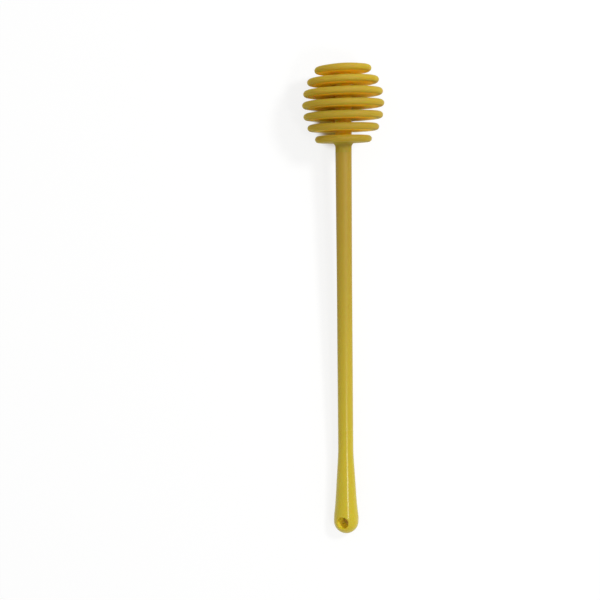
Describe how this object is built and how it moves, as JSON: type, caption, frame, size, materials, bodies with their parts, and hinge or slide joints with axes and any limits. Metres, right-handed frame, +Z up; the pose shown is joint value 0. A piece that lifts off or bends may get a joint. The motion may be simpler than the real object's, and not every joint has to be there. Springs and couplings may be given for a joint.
{
  "type": "honey dipper",
  "caption": "Slim silicone honey dipper: a barrel-shaped head of thin round-edged discs on a long handle with a drop-shaped end and a hanging hole.",
  "frame": {"origin": "middle of the footprint, on the surface that the dipper lies on", "axes": "+Y from the hanging end towards the head, +Z up, with the dipper lying on its side on its widest disc and the drop at the end of its handle"},
  "size_m": [0.0304, 0.1748, 0.0304],
  "materials": {
    "head_silicone": "matt moulded silicone, golden yellow",
    "handle_silicone": "semi-gloss moulded silicone, golden yellow",
    "core_steel": "drawn stainless steel"
  },
  "bodies": {
    "root": {"head": "head_silicone", "handle_sleeve": "handle_silicone", "core_rod": "core_steel"}
  },
  "joints": []
}
